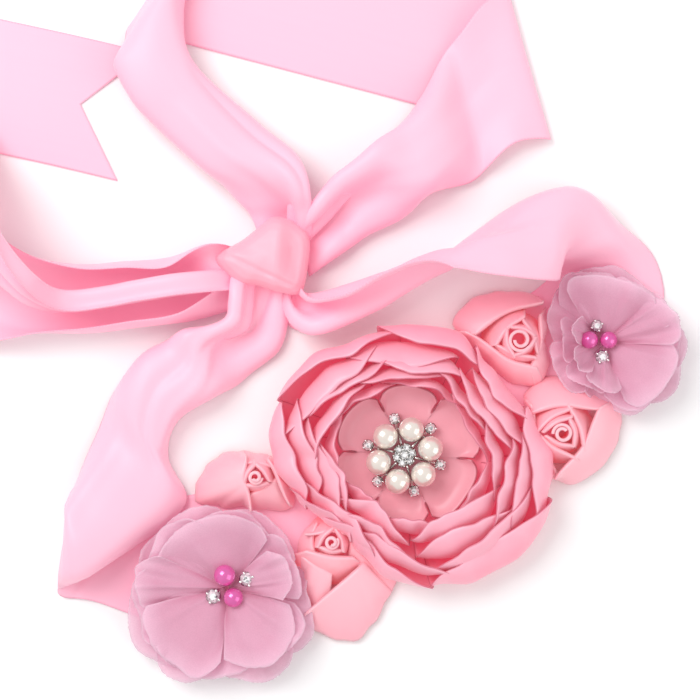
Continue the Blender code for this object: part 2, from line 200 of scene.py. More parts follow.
def between(before, start, end, after, t):
    """A number on the smooth curve from start, t = 0, to end, t = 1, with its neighbours known."""
    return 0.5 * (2 * start + (end - before) * t + (2 * before - 5 * start + 4 * end - after) * t * t
                  + (3 * start - before - 3 * end + after) * t ** 3)


def smooth_rows(rows, reach):
    """Sections filled in on a smooth curve, no further than reach apart, with the place each has
    in the table that they come from."""
    filled = []
    for index in range(len(rows) - 1):
        before = rows[max(index - 1, 0)]
        start, end = rows[index], rows[index + 1]
        after = rows[min(index + 2, len(rows) - 1)]
        apart = math.hypot(end[0] - start[0], end[1] - start[1]) * PIXEL + abs(end[2] - start[2]) * MM
        steps = max(3, round(apart / reach))
        for step in range(steps):
            t = step / steps
            filled.append((index + t, [between(*four, t) for four in zip(before, start, end, after)]))
    filled.append((len(rows) - 1.0, list(rows[-1])))
    return filled


def toward(direction):
    """The level way that a direction in degrees points."""
    turn = math.radians(direction)
    return Vector((math.cos(turn), math.sin(turn), 0))


def across_ribbon(row, columns, gathers):
    """Points across one section, equal steps apart along the cloth. Half of the bow is even over the
    width and half lies near the sides, so that a ribbon keeps a flat face between turned edges."""
    x, y, lift, across, lean, bow, ripple, slant = row
    length = RIBBON_WIDTH / math.cos(math.radians(slant))
    step = length / columns
    side, height = [0.0], [0.0]
    for index in range(columns):
        share = (index + 0.5) / columns - 0.5
        turned = min(max((abs(share) - FLAT_SHARE) / FLAT_SHARE, 0.0), 1.0)
        bent = share * 0.5 + math.copysign(turned * turned * (3 - 2 * turned), share) * 0.25
        angle = math.radians(lean + bow * bent + ripple * math.cos(2 * math.pi * gathers * share))
        side.append(side[-1] + step * math.cos(angle))
        height.append(height[-1] + step * math.sin(angle))
    middle = (max(side) + min(side)) / 2
    lowest = min(height)
    base = max(lift, 0) * MM + 0.0005 - lowest
    direction = toward(across)
    centre = seen(x, y, lift * MM + (max(height) - lowest) / 2)
    centre.z = 0
    return [centre + direction * (s - middle) + Vector((0, 0, base + h)) for s, h in zip(side, height)]


def crease_height(creases, along, side):
    """Height in mm that the creases add at a place: along in table rows, side from -0.5 to 0.5."""
    total = 0.0
    for start, start_side, end, end_side, width, height in creases:
        share = min(max((along - start) / (end - start), 0.0), 1.0)
        fade = math.sin(math.pi * min(max((along - start + 0.35) / (end - start + 0.7), 0), 1)) ** 0.6
        away = (side - start_side - (end_side - start_side) * share) * 50 / width
        total += height * fade * math.exp(-away * away)
    return total


def squares(rows, columns, first=0):
    """The faces between rows x columns points that are counted from first."""
    corners = [first + row * columns + column for row in range(rows - 1) for column in range(columns - 1)]
    return [(corner, corner + 1, corner + columns + 1, corner + columns) for corner in corners]


def cloth_sheet(name, points, faces, flat, wall, material):
    """A thin sheet with a wall; flat holds each point's place on the cloth before it was shaped."""
    mesh = bpy.data.meshes.new(name)
    mesh.from_pydata([tuple(point) for point in points], [], faces)
    layer = mesh.uv_layers.new(name="cloth")
    for loop in mesh.loops:
        layer.data[loop.index].uv = flat[loop.vertex_index]
    mesh.shade_smooth()
    mesh.materials.append(material)
    piece = bpy.data.objects.new(name, mesh)
    scene.collection.objects.link(piece)
    thicken = piece.modifiers.new("wall", "SOLIDIFY")
    thicken.thickness = wall
    thicken.offset = 0.0
    thicken.use_rim = True
    return piece


def cloth_from_grid(name, grid, flat, wall, material):
    """A sheet through a grid of points."""
    return cloth_sheet(name, [point for line in grid for point in line], squares(len(grid), len(grid[0])),
                       [place for line in flat for place in line], wall, material)


def ribbon(name, rows, creases, material, gathers=1.5, columns=44, reach=0.0024, notch=0.0, flutter=0.25,
           pressed=(0.0, 0.0)):
    """A stretch of ribbon through its sections, with its creases. notch is the depth of a V-cut end;
    pressed is how far from its start and its end the knot presses it down."""
    filled = smooth_rows(rows, reach)
    grid = [across_ribbon(row, columns, gathers) for along, row in filled]
    travel = [0.0]
    for before, line in zip(grid, grid[1:]):
        middle = (line[columns // 2] - before[columns // 2]).length
        travel.append(travel[-1] + middle)
    normals = []
    for index, line in enumerate(grid):
        before, after = grid[max(index - 1, 0)], grid[min(index + 1, len(grid) - 1)]
        normals.append([])
        for column in range(columns + 1):
            across = line[min(column + 1, columns)] - line[max(column - 1, 0)]
            normals[-1].append(across.cross(after[column] - before[column]).normalized())
    for index, (along, row) in enumerate(filled):
        lying = min(1.0, (row[2] + abs(row[5]) / 30 + row[6] / 20) / 4)
        for column in range(columns + 1):
            side = column / columns - 0.5
            ruffle = noise.noise(Vector((travel[index] * 70, side * 3.2, 4.7))) * flutter * lying
            push = (crease_height(creases, along, side) + ruffle) * MM
            grid[index][column] = grid[index][column] + normals[index][column] * push
    if notch:
        inward = (grid[-2][columns // 2] - grid[-1][columns // 2]).normalized()
        for index, line in enumerate(grid):
            share = max(0.0, 1 - (travel[-1] - travel[index]) / CUT_REACH)
            for column, point in enumerate(line):
                point += inward * notch * share * (1 - abs(2 * column / columns - 1))
    for index, line in enumerate(grid):
        press = 1.0
        for far, length in zip((travel[index], travel[-1] - travel[index]), pressed):
            if far < length:
                press -= PRESS_DEPTH * (1 - far / length) ** 2
        for point in line:
            point.z = max(point.z * press, CLOTH * 0.55)
    flat = [[(column / columns * RIBBON_WIDTH, far) for column in range(columns + 1)] for far in travel]
    return cloth_from_grid(name, grid, flat, CLOTH, material)


def satin_weave(tint, shade):
    """Satin: fine floats along the length, faint streaks, and a row of dots finishing each side."""
    def build(thread):
        side, far = thread.cloth()
        fine = thread.grain(thread.stretched(side * 5200.0, far * 420.0), 1.0, 2.0)
        broad = thread.grain(thread.stretched(side * 420.0, far * 14.0), 1.0, 3.0)
        inset = thread.sum("MINIMUM", side, RIBBON_WIDTH - side)
        edge = ((WOVEN_SIDE - inset) * (1 / (WOVEN_SIDE * 0.5))).held()
        dots = thread.sum("SINE", far * 5200.0) * 0.5 + 0.5
        worn = (edge * (dots * 0.4 + 0.15) + broad * 0.10 + fine * 0.06).held()
        return {"Base Color": worn.blend((*tint, 1), (*shade, 1)),
                "Roughness": fine * 0.16 + 0.34,
                "Normal": thread.bump(0.22, 0.00012, fine + edge * dots * 1.5)}
    return build


# The ribbon's pink emission is a painted glow that lifts its shaded folds.
ribbon_satin = finish("ribbon_satin_cloth", 0.34,
                      satin_weave((0.97, 0.525, 0.645), (0.92, 0.39, 0.52)),
                      Specular_IOR_Level=0.4, Sheen_Weight=0.25, Sheen_Roughness=0.4,
                      Emission_Color=(0.12, 0.040, 0.065, 1), Emission_Strength=1.0)

# x, y: middle of what is seen; lift: lowest point, mm; across: plan direction of the section;
# lean: rise of the ribbon's middle; bow: turn over the width; ripple: swing of the gathers;
# slant: turn of the section from square; angles in degrees
waist_ribbon = ribbon("waist_ribbon", [
    (265, 268, 4, 170, 0, -180, 98, 0),
    (261, 287, 3, 166, 0, -180, 94, 0),
    (258, 313, 2, 158, 0, -190, 92, 0),
    (251, 334, 1, 146, 0, -200, 88, 0),
    (222, 351, 0, 135, 0, -200, 70, 0),
    (192, 368, 0, 130, 0, -200, 0, 0),
    (158, 389, 0, 121, 0, -200, 0, 0),
    (141, 423, 0, 126, 0, -170, 0, 0),
    (142, 466, 2.4, 138, 0, -96, 0, 0),
    (102, 515, 4, 125, 0, -165, 0, 0),
    (76, 542, 6, 106, 0, -196, 0, 0),
    (66, 538, 3, 80, 2, -120, 0, 0),
    (88, 534, 0, 78, 0, 0, 0, 0),
    (119, 540, 0, 74, 0, 0, 0, 0),
    (171, 560, 0, 92, 0, 0, 0, 0),
    (215, 557, 0, 104, 0, 0, 0, 0),
    (262, 539, 0, 116, 0, 0, 0, 0),
    (325, 505, 0, 123, 0, 0, 0, 0),
    (475, 407, 0, 123, 0, 0, 0, 0),
    (574, 343, 0, 123, 0, 0, 0, 0),
    (598, 314, 0, 138, 0, 0, 0, 0),
    (602, 290, 0, 158, 0, -4, 0, 0),
    (596, 264, 0, 182, 0, -70, 0, 0),
    (582, 246, 3, 210, 0, -160, 0, 0),
    (572, 232, 8, 250, 10, -160, 0, 0),
    (556, 234, 9, 268, 30, -120, 0, 0),
    (520, 240, 5, 268, 50, -80, 0, 0),
    (488, 248, 2, 265, 68, -50, 20, 0),
    (453, 258, 1, 262, 88, 10, 40, 0),
    (420, 272, 1, 258, 100, 50, 50, 0),
    (385, 290, 1, 258, 108, 70, 60, 0),
    (345, 306, 1, 262, 116, 40, 80, 0),
    (312, 314, 2, 262, 150, 0, 96, 0),
    (294, 306, 2, 255, 172, 0, 102, 0),
    (286, 286, 2, 250, 176, 0, 108, 0),
], [
    # from row and side to row and side, width in mm, height in mm
    (3.0, 0.22, 7.6, -0.10, 3.0, -1.6),
    (3.4, 0.02, 6.6, -0.28, 2.0, 1.1),
    (6.0, 0.30, 9.4, 0.10, 4.0, -0.5),
    (8.0, -0.20, 10.4, 0.05, 5.0, 0.4),
    (26.0, 0.10, 31.0, 0.20, 3.0, -1.0),
    (23.5, -0.2, 27.5, 0.1, 4.5, 0.8),
    (0.6, -0.32, 3.6, -0.14, 1.4, -1.3),
    (0.6, 0.06, 4.2, 0.00, 1.3, -1.4),
    (1.0, 0.36, 4.6, 0.22, 1.6, -1.1),
], ribbon_satin, pressed=(0.014, 0.030))
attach(waist_ribbon, "root")
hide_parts("arm_left", "band", "arm_right")


# Bow loop: the next part of the same ribbon. Its left leg comes out of the knot, turns under at the
# top, runs flat on the table and comes back over itself to the knot as the right leg.
bow_loop = ribbon("bow_loop", [
    (286, 240, 2, 2, 0, -150, 110, 0),
    (282, 217, 3, 4, 0, -180, 98, 0),
    (277, 200, 4, 9, 0, -200, 76, 0),
    (262, 173, 4, 21, 0, -195, 20, 0),
    (233, 150, 4, 28, 0, -200, 0, 0),
    (192, 113, 4, 27, 0, -206, 0, 0),
    (166, 86, 5, 28, 0, -210, 0, 0),
    (150, 56, 5, 25, 0, -200, 0, 0),
    (148, 28, 5, 42, 0, -150, 0, 0),
    (160, -8, 6, 54, 0, -70, 0, 10),
    (165, -29, 3, 57.5, 0, 0, 0, 17.8),
    (175, -27, 0, 57.5, 0, 0, 0, 17.8),
    (230, -12.3, 0, 75.3, 0, 0, 0, 0),
    (345, 17.9, 0, 75.3, 0, 0, 0, 0),
    (460, 48.1, 0, 75.3, 0, 0, 0, 0),
    (517, 63.1, 0, 105.8, 0, 0, 0, 30.5),
    (529, 66, 2.5, 105.8, 0, 0, 0, 30.5),
    (519, 66, 5, 105.8, 0, 0, 0, 29),
    (497, 76, 4, 105, 0, 30, 0, 20),
    (471, 104, 3, 104, 0, 10, 0, 6),
    (442, 135, 3, 106, 0, -130, 0, 0),
    (412, 161, 3, 113, 0, -200, 0, 0),
    (382, 187, 3, 116, 0, -200, 60, 0),
    (353, 205, 3, 120, 0, -200, 84, 0),
    (335, 221, 3, 120, 0, -180, 96, 0),
    (320, 234, 3, 116, 0, -170, 102, 0),
    (300, 250, 3, 110, 0, -160, 106, 0),
], [
    (1.2, 0.16, 6.0, 0.26, 2.6, -2.2),
    (1.5, -0.10, 5.0, -0.02, 3.2, 0.9),
    (1.3, 0.34, 5.6, 0.40, 2.2, 1.0),
    (18.0, 0.05, 24.0, 0.10, 4.5, -0.7),
    (19.5, -0.22, 23.0, -0.10, 3.0, 0.6),
    (20.5, 0.28, 24.5, 0.20, 2.6, 0.7),
], ribbon_satin, pressed=(0.016, 0.016))
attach(bow_loop, "root")
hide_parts("loop_left_leg", "loop_top_run", "loop_right_leg")


# Short tail: one cut end of the ribbon. It leaves the knot as a trough with its sides rolled up and
# opens flat on the table, where it ends in a V-cut.
short_tail = ribbon("short_tail", [
    (246, 276, 1, 112, 0, 170, 96, 0),
    (221, 277, 0, 106, 0, 230, 66, 0),
    (176, 290, 0, 98, 0, 250, 0, 0),
    (130, 295, 0, 95, 0, 240, 0, 0),
    (83, 299, 0, 94, 0, 225, 0, 0),
    (35, 295, 0, 92, 0, 190, 0, 0),
    (-8, 286, 0, 96, 0, 110, 0, 0),
    (-52, 282, 0, 94, 0, 30, 0, 0),
    (-95, 282, 0, 90, 0, 0, 0, 0),
    (-150, 284, 0, 88, 0, 0, 0, 0),
], [
    (1.2, 0.26, 5.5, 0.20, 3.0, 0.8),
    (2.0, -0.30, 6.0, -0.22, 3.5, 0.7),
], ribbon_satin, notch=0.0205, pressed=(0.018, 0.0))
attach(short_tail, "root")
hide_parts("tail_short")


# Long tail: the other cut end. It leaves the knot gathered on its edge inside the short tail's
# trough, opens out, turns back at the far left and runs flat to its V-cut under the bow.
long_tail = ribbon("long_tail", [
    (247, 279, 2.5, 112, 90, 0, 122, 0),
    (225, 280, 3.2, 108, 90, 0, 112, 0),
    (184, 284, 3.6, 98, 90, 0, 100, 0),
    (138, 291, 3.2, 98, 90, 0, 100, 0),
    (107, 297, 3.2, 98, 90, 0, 100, 0),
    (64, 301, 4, 90, 88, 0, 98, 0),
    (31, 290, 14, 62, 74, 0, 86, 0),
    (2, 264, 17, 47, 66, 0, 76, 0),
    (-31, 232, 13, 41, 42, 0, 48, 0),
    (-60, 188, 6, 34, 8, 0, 12, 0),
    (-85, 125, 3, 29, 0, 0, 0, 0),
    (-106, 68, 4, 50, 0, 0, 0, 21),
    (-112, 60.8, 2, 52.3, 0, 0, 0, 24.3),
    (-102, 63.2, 0, 52.3, 0, 0, 0, 24.3),
    (-50, 75.6, 0, 76.6, 0, 0, 0, 0),
    (60, 99.6, 0, 76.6, 0, 0, 0, 0),
    (133, 117, 0, 76.6, 0, 0, 0, 0),
], [
    (6.5, -0.1, 9.5, 0.05, 3.5, -0.9),
    (7.0, 0.25, 10.0, 0.15, 3.5, 0.7),
], ribbon_satin, gathers=2.5, columns=60, notch=0.0205, pressed=(0.018, 0.0))
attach(long_tail, "root")
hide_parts("tail_long", "tail_long_end")


# Knot: the ribbon wound once over the crossing and drawn tight. One broad smooth face shows, with a soft
# ridge down it and its edge lapping over the tails. It is many layers thick. Its finish is the ribbon's
# satin in a deeper pink with a weaker glow: painted shade and a painted glow.
KNOT_CENTRE = (267, 255)
KNOT_OUTLINE = [(216, 257), (242, 241), (262, 225), (273, 217), (289, 220), (301, 228), (309, 239),
                (308, 262), (301, 292), (280, 292), (257, 285), (241, 283), (228, 274)]
KNOT_LEVELS = [(0.4, 0.94), (2.5, 0.98), (6, 1.0), (10.5, 1.0), (14.2, 0.95), (16.8, 0.83), (18.3, 0.66),
               (19.2, 0.45), (19.6, 0.23), (19.8, 0.002)]


def ring_through(points, count):
    """Evenly counted points on a smooth closed curve."""
    ring = []
    for index in range(count):
        where = index / count * len(points)
        start = int(where)
        near = [points[(start + step) % len(points)] for step in (-1, 0, 1, 2)]
        ring.append(tuple(between(*four, where - start) for four in zip(*near)))
    return ring


def close_seam(piece, near, turn_out):
    """Joins the points of a sheet that meet, and turns its faces outwards where that is asked."""
    welded = bmesh.new()
    welded.from_mesh(piece.data)
    bmesh.ops.remove_doubles(welded, verts=welded.verts, dist=near)
    if turn_out:
        bmesh.ops.recalc_face_normals(welded, faces=welded.faces)
    welded.to_mesh(piece.data)
    welded.free()


KNOT_RINGS = 36
KNOT_AROUND = 96
knot_grid, knot_flat = [], []
for level in range(KNOT_RINGS + 1):
    where = level / KNOT_RINGS * (len(KNOT_LEVELS) - 1)
    start = min(int(where), len(KNOT_LEVELS) - 2)
    t = where - start
    height, share = [a + (b - a) * t for a, b in zip(KNOT_LEVELS[start], KNOT_LEVELS[start + 1])]
    line, place = [], []
    for x, y in ring_through(KNOT_OUTLINE, KNOT_AROUND):
        x, y = KNOT_CENTRE[0] + (x - KNOT_CENTRE[0]) * share, KNOT_CENTRE[1] + (y - KNOT_CENTRE[1]) * share
        ridge = math.exp(-((x - 277 + (y - 255) * 0.10) / 6.0) ** 2) * 0.9
        hollow = math.exp(-((x - 294) / 10.0) ** 2 - ((y - 256) / 26.0) ** 2) * 3.0
        dent = math.exp(-((x - 250) / 15.0) ** 2 - ((y - 250) / 9.0) ** 2) * 0.9
        hem = ((x - 217) * 39 - (y - 258) * 83) / 92
        lap = math.exp(-((hem - 7.0) / 2.2) ** 2) * 0.9
        line.append(seen(x, y, (height + (ridge - hollow - dent - lap) * min(1, height / 10)) * MM))
        place.append((max(hem, 0.0) * PIXEL + height * 0.7 * MM, (x + y * 0.4) * PIXEL))
    knot_grid.append(line + [line[0]])
    knot_flat.append(place + [place[0]])
# Painted shade: the same satin as the ribbon in a deeper pink, with a weaker painted glow.
knot_shaded_satin = finish("knot_satin_painted_shade", 0.34,
                    satin_weave((0.95, 0.44, 0.535), (0.90, 0.34, 0.44)),
                    Specular_IOR_Level=0.4, Sheen_Weight=0.2, Sheen_Roughness=0.4,
                    Emission_Color=(0.08, 0.022, 0.034, 1), Emission_Strength=1.0)
knot_wrap = cloth_from_grid("knot_wrap", knot_grid, knot_flat, CLOTH, knot_shaded_satin)
close_seam(knot_wrap, 0.0001, True)
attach(knot_wrap, "root")
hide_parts("knot")


# Main flower: six satin discs, each slit into petals whose edges are sealed and curled by heat. Five
# stand up as cups one inside another with their brims leaning in; the sixth lies open in the middle.
MAIN_CENTRE = (406, 455)
MAIN_ROUND = 129
MAIN_REACH = [(0, 142), (15, 129), (35, 120), (51, 120), (68, 134), (90, 129), (104, 131), (118, 128),
              (135, 137), (152, 137), (168, 139), (182, 130), (200, 115), (217, 107), (231, 101),
              (245, 108), (262, 122), (282, 132), (300, 143), (318, 150), (335, 150), (350, 147)]


def reach_at(table, direction):
    """How far a flower spreads in one direction, read smoothly round its table."""
    direction %= 360
    rows = sorted(table)
    rows = [(rows[-1][0] - 360, rows[-1][1])] + rows + [(rows[0][0] + 360, rows[0][1])]
    for (low, near), (high, far) in zip(rows, rows[1:]):
        if low <= direction <= high:
            share = (direction - low) / (high - low)
            share = share * share * (3 - 2 * share)
            return near + (far - near) * share
    return rows[0][1]


def round_about(centre, direction, radius, height):
    """A spot round a flower's middle: radius in view pixels, height in mm."""
    turn = math.radians(direction)
    return seen(*centre) + Vector((math.cos(turn) * radius * PIXEL, math.sin(turn) * radius * PIXEL,
                                   height * MM))


def along_profile(profile, where):
    """A smooth place on a profile of (radius share, height) rows, where from 0 to 1."""
    spot = where * (len(profile) - 1)
    index = min(int(spot), len(profile) - 2)
    near = [profile[max(index - 1, 0)], profile[index], profile[index + 1],
            profile[min(index + 2, len(profile) - 1)]]
    return [between(*four, spot - index) for four in zip(*near)]


def petals_of(name, shapes, spot, material, wall=0.0004, columns=34, rows=20):
    """One piece made of petals. spot(shape, side, out) gives a petal's surface: side from -1 to 1
    across it, out from 0 at its foot to 1 at its brim. The cloth map holds the distance from the
    nearest side and from the brim."""
    points, faces, flat = [], [], []
    for shape in shapes:
        first = len(points)
        grid = [[spot(shape, 2 * column / columns - 1, row / rows) for column in range(columns + 1)]
                for row in range(rows + 1)]
        for row, line in enumerate(grid):
            width = sum((b - a).length for a, b in zip(line, line[1:]))
            for column, point in enumerate(line):
                fall = sum((grid[step + 1][column] - grid[step][column]).length
                           for step in range(row, rows))
                points.append(point)
                flat.append((width * min(column, columns - column) / columns, fall))
        faces += squares(rows + 1, columns + 1, first)
    return cloth_sheet(name, points, faces, flat, wall, material)


def sealed_satin(tint, painted_shade, edge, sealed, painted_glow):
    """Satin with a finished edge: a thin line at the brim and sides, and painted shade that deepens the
    colour towards the foot, with a painted glow that grows there."""
    def build(thread):
        side, brim = thread.cloth()
        inset = thread.sum("MINIMUM", side, brim)
        line = ((sealed - inset) * (2.0 / sealed)).held() * ((0.015 - brim) * 300.0).held()
        fine = thread.grain(thread.stretched(side * 900.0, brim * 3600.0), 1.0, 2.0)
        cloud = thread.grain(thread.place(), 160.0, 2.0)
        # Painted shade and painted glow: both grow with the distance from the brim, towards the foot.
        depth = (brim * 38.0 + cloud * 0.5 - 0.35).held()
        body = depth.blend((*tint, 1), (*painted_shade, 1))
        return {"Base Color": (line * 0.75).blend(body, (*edge, 1)),
                "Emission Color": depth.blend((0.05, 0.006, 0.010, 1), (*painted_glow, 1)),
                "Roughness": fine * 0.12 + 0.27,
                "Normal": thread.bump(0.25, 0.00015, fine * 0.5 + cloud)}
    return build


# The petals' deeper pink towards the foot is painted shade, and their pink emission is a painted glow
# there.
petal_satin = finish("petal_satin", 0.38,
                     sealed_satin((0.93, 0.435, 0.54), (0.90, 0.255, 0.345), (0.62, 0.13, 0.21), 0.00042,
                                  (0.20, 0.026, 0.050)),
                     Sheen_Weight=0.35, Sheen_Roughness=0.35, Emission_Strength=1.0)

# share of the reach at the belly; heights in mm of foot, belly and brim; width of the disc it is cut
# from; then each petal: direction, half of its span, how far its low end and its high end lie out, how
# far its brim leans in, wave
MAIN_CUPS = [
    ("main_petals_1", 1.0, 1.9, 12.0, 20.5, 0.132, [
        (125, 33, -4, 2, 12, 0.3), (76, 28, -4, 2, 18, 1.4), (36, 23, -3, 3, 14, 2.1),
        (357, 27, -4, 2, 22, 0.8), (312, 33, -3, 0, 28, 2.7), (248, 35, -3, 0, 16, 0.2),
        (182, 27, -3, 2, 21, 1.1), (216, 22, 0, -4, 11, 1.9)]),
    ("main_petals_2", 0.885, 3.4, 13.5, 22.5, 0.126, [
        (28, 27, -2, 2, 18, 0.9), (138, 35, -3, 2, 21, 2.2), (92, 31, -4, 0, 25, 0.1),
        (314, 35, -3, 1, 21, 1.5), (262, 31, -3, 2, 17, 2.6), (222, 33, 0, 2, 18, 0.7),
        (178, 27, 0, -4, 23, 1.8), (348, 25, -3, 0, 19, 0.4)]),
    ("main_petals_3", 0.785, 4.9, 15.0, 24.0, 0.108, [
        (30, 31, -2, 2, 16, 1.2), (188, 33, 0, -2, 23, 2.5), (130, 31, -3, 0, 14, 0.4),
        (82, 29, -3, 1, 17, 1.7), (305, 31, -3, 2, 27, 0.9), (247, 29, -2, 2, 15, 2.0),
        (345, 27, -2, 1, 17, 0.3)]),
    ("main_petals_4", 0.685, 6.4, 16.0, 25.0, 0.0985, [
        (308, 37, -4, 0, 29, 0.6), (240, 33, -2, 0, 21, 1.9), (150, 35, -3, 2, 11, 2.8),
        (95, 33, -3, 2, 11, 1.0), (45, 31, -3, 2, 10, 0.2), (195, 29, -3, 2, 17, 2.3),
        (0, 29, -3, 2, 13, 1.3)]),
    ("main_petals_5", 0.595, 7.9, 14.5, 22.5, 0.083, [
        (75, 37, -2, 2, 6, 1.6), (128, 31, -2, 2, 7, 0.5), (25, 31, -2, 2, 8, 2.2),
        (176, 31, -2, 2, 10, 1.1), (226, 31, -2, 2, 13, 2.7), (276, 31, -2, 2, 15, 0.0),
        (328, 33, -2, 2, 14, 1.4)]),
]
for name, share, foot, belly, brim, cut, shapes in MAIN_CUPS:
    def cup_spot(shape, side, out):
        """A standing petal: out from the foot, up round the belly, and in again at the brim."""
        direction, half, low, high, lean, wave = shape
        turn = direction + half * side * (1 - 0.06 * out)
        whole = (MAIN_ROUND + (reach_at(MAIN_REACH, turn) - MAIN_ROUND) * share) * share
        whole += low + (high - low) * (side + 1) / 2 + 1.5 * math.sin(2.2 * side + wave * 2)
        leaning = lean * (1 - abs(side) ** 2) + 1
        radius, height = along_profile([
            (0.40, foot), (0.62, foot + 0.6), (0.86, foot + 0.28 * (belly - foot)),
            (0.975, 0.65 * belly + 0.35 * foot), (1.0, belly + 1.0),
            (1.0, 0.5 * (belly + brim) + 1.2), (1.0, brim)], out)
        rim = max(0.0, out - 0.62) / 0.38
        radius = radius * whole - leaning * rim ** 1.5
        height -= (2.8 * abs(side) ** 3 + 3.0 * abs(side) ** 12
                   + 0.8 * math.sin(3.2 * side + wave * 3) + 0.5) * rim
        height += 0.2 * math.sin(7 * side + wave * 5) * rim ** 3
        rumple = noise.noise(Vector((side * 2.4 + wave * 8, out * 2.2, foot)))
        ripple = noise.noise(Vector((side * 3.6 + wave * 5, out * 1.3, foot + 7)))
        radius += (2.6 * rumple + 1.0 * ripple * rim) * min(1, out * 3)
        height += 1.0 * rumple * rim
        return round_about(MAIN_CENTRE, turn, radius, height)

    cup = petals_of("cup_of_" + name, shapes, cup_spot, petal_satin)
    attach(cup, "root")
    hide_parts(name)
    hidden = 0.40 * share * MAIN_ROUND * PIXEL
    math.pi * (cut * cut / 4 - hidden * hidden)

# The open disc: one sheet, cut in from its brim by six short slits. Each petal between two slits:
# direction, half span, reach in px
DISC_PETALS = [(29, 31, 74), (88.5, 28, 70), (146, 29, 72), (205, 30, 71), (263.5, 28, 67), (325, 33, 72)]
SLIT_SHARE = 0.70
USUAL_REACH = 71
SLIT_FOOT = SLIT_SHARE * USUAL_REACH
DISC_COLUMNS = 36
DISC_ROWS = 26
disc_spokes = []
for direction, half, reach in DISC_PETALS:
    for column in range(DISC_COLUMNS):
        side = math.sin(math.pi / 2 * (column / (DISC_COLUMNS // 2) - 1))
        brim = reach * (1 - 0.13 * abs(side) ** 5
                        + 0.016 * math.sin(3.1 * side + direction) * (1 - side * side))
        cut = max(0.0, abs(side) - 0.97) / 0.03
        spoke, place = [], []
        for row in range(DISC_ROWS + 1):
            radius = (0.02 + 0.98 * row / DISC_ROWS) * (brim + (SLIT_FOOT - brim) * cut)
            share = radius / brim
            free = max(0.0, share - SLIT_SHARE) / (1 - SLIT_SHARE)
            curl = max(0.0, share - 0.78) / 0.22
            height = 9.4 + 0.9 * share ** 2 + 3.6 * curl ** 2 + 0.9 * side * free
            height += 1.6 * free * max(0.0, abs(side) - 0.84) / 0.16
            height += 0.3 * math.sin(5 * side + direction) * (1 - side * side) * share
            spoke.append(round_about(MAIN_CENTRE, direction + half * side, radius, height))
            aside = (1 - abs(side)) * math.radians(half) * radius + max(0.0, SLIT_FOOT - radius)
            place.append((aside * PIXEL, (brim - radius) * PIXEL))
        disc_spokes.append((spoke, place))
disc_spokes.append(disc_spokes[0])


disc_satin = finish("disc_satin", 0.4,
                    sealed_satin((0.86, 0.40, 0.47), (0.86, 0.39, 0.45), (0.45, 0.05, 0.09), 0.00050,
                                 (0.05, 0.006, 0.010)),
                    Sheen_Weight=0.25, Sheen_Roughness=0.35, Emission_Strength=1.0)
middle_disc = cloth_from_grid("middle_disc", [spoke for spoke, place in disc_spokes],
                              [place for spoke, place in disc_spokes], 0.0004, disc_satin)
close_seam(middle_disc, 0.000001, False)
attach(middle_disc, "root")
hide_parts("main_middle_disc")


# Rolled roses: each a length of satin ribbon folded in half. Its start is wound into an open coil;
# then it is folded over on the slant at each turn, so that its folded edges close round the coil and
# the last ones slope away as broad facets to the band.
# Rose satin: the colour darkens towards each fold's foot as painted shade, to a dark red on the blades and
# the coil, with a painted glow there; the line along the folded edges is lighter than the face, a painted
# highlight.
ROSE_SHEEN_AND_GLOW = {"Sheen_Weight": 0.3, "Sheen_Roughness": 0.35, "Emission_Strength": 1.0}
facet_satin = finish("rose_facet_satin", 0.36,
                     sealed_satin((0.97, 0.50, 0.57), (0.97, 0.44, 0.52), (0.98, 0.60, 0.66), 0.0006,
                                  (0.07, 0.008, 0.012)), **ROSE_SHEEN_AND_GLOW)
blade_satin = finish("rose_blade_satin", 0.36,
                     sealed_satin((0.97, 0.50, 0.57), (0.96, 0.13, 0.15), (0.97, 0.54, 0.60), 0.0007,
                                  (0.38, 0.020, 0.022)), **ROSE_SHEEN_AND_GLOW)
COIL_TURNS = 1.4
COIL_WIDTH = 0.013
COIL_FOOT = 4
COIL_STEPS = 72
COIL_ROWS = 8
